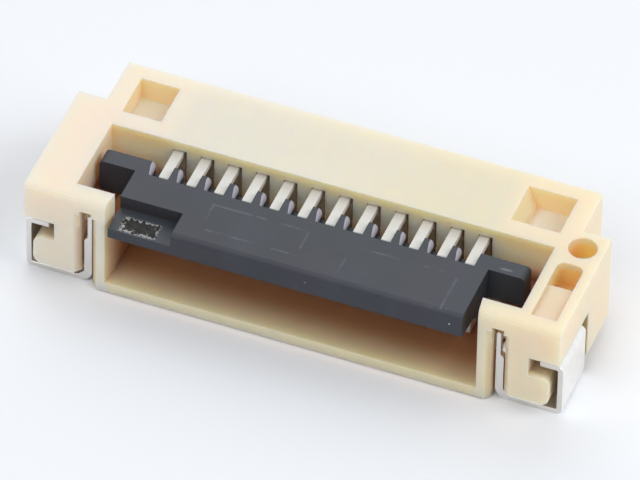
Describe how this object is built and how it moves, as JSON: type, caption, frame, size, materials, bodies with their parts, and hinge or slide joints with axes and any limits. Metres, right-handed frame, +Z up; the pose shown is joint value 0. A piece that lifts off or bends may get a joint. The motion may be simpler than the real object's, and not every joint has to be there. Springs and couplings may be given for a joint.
{
  "type": "fpc connector",
  "caption": "Right-angle surface-mount connector for a flat flexible cable, with a flip-up locking lever at its front and solder nails at its ends.",
  "frame": {"origin": "on the circuit board's surface, below the middle of the part: midway between its two sides, and midway between the lever's front edge and the ends of the contacts' feet", "axes": "+X along the row of contacts, +Y the way the cable goes in, towards the rear, +Z up from the board"},
  "size_m": [0.0096, 0.0042, 0.002],
  "materials": {
    "ivory_plastic": "fine matte moulded ivory plastic",
    "dark_plastic": "matte slate-black moulded plastic",
    "contact_metal": "bright tin-plated phosphor bronze",
    "nail_metal": "bright tin-plated brass"
  },
  "bodies": {
    "base": {"housing": "ivory_plastic", "contact_01": "contact_metal", "contact_02": "contact_metal", "contact_03": "contact_metal", "contact_04": "contact_metal", "contact_05": "contact_metal", "contact_06": "contact_metal", "contact_07": "contact_metal", "contact_08": "contact_metal", "contact_09": "contact_metal", "contact_10": "contact_metal", "contact_11": "contact_metal", "contact_12": "contact_metal", "nail_left": "nail_metal", "nail_right": "nail_metal"},
    "lever": {"lever": "dark_plastic"}
  },
  "joints": [
    {"name": "lever_flip", "type": "hinge", "parent": "base", "child": "lever", "pos_m": [0, -0.00057, 0.00152], "axis": [-1, 0, 0], "range_deg": [0, 90]}
  ]
}
